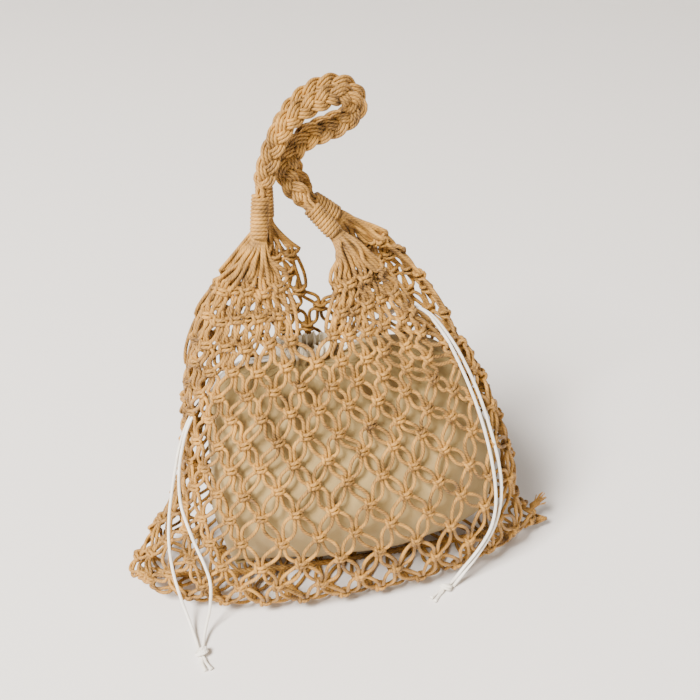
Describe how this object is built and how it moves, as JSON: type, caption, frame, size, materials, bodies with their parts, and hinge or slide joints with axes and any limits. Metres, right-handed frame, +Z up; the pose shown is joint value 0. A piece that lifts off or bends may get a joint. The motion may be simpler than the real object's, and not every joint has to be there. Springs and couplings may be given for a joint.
{
  "type": "knotted net shoulder bag",
  "caption": "Shoulder bag of knotted cord net with plaited handles, standing on its seam, with a drawstring cloth pouch inside.",
  "frame": {"origin": "on the bottom seam's underside, where the bag rests, near the middle of the seam", "axes": "+Z up, X along the bottom seam with the tuft's corner towards +X, front panel towards -Y"},
  "size_m": [0.4456, 0.1991, 0.4967],
  "materials": {
    "tan_cord": "waxed twisted cotton cord",
    "beige_cotton": "plain woven cotton",
    "white_cord": "smooth cotton cord"
  },
  "bodies": {
    "root": {"net_body": "tan_cord", "wrap_front_left": "tan_cord", "wrap_front_right": "tan_cord", "wrap_back_left": "tan_cord", "wrap_back_right": "tan_cord", "handle_front": "tan_cord", "handle_back": "tan_cord", "pouch": "beige_cotton", "drawstring_left_a": "white_cord", "drawstring_left_b": "white_cord", "drawstring_right_a": "white_cord", "drawstring_right_b": "white_cord", "drawstring_knot_left": "white_cord", "drawstring_knot_right": "white_cord", "corner_tuft": "tan_cord"}
  },
  "joints": []
}
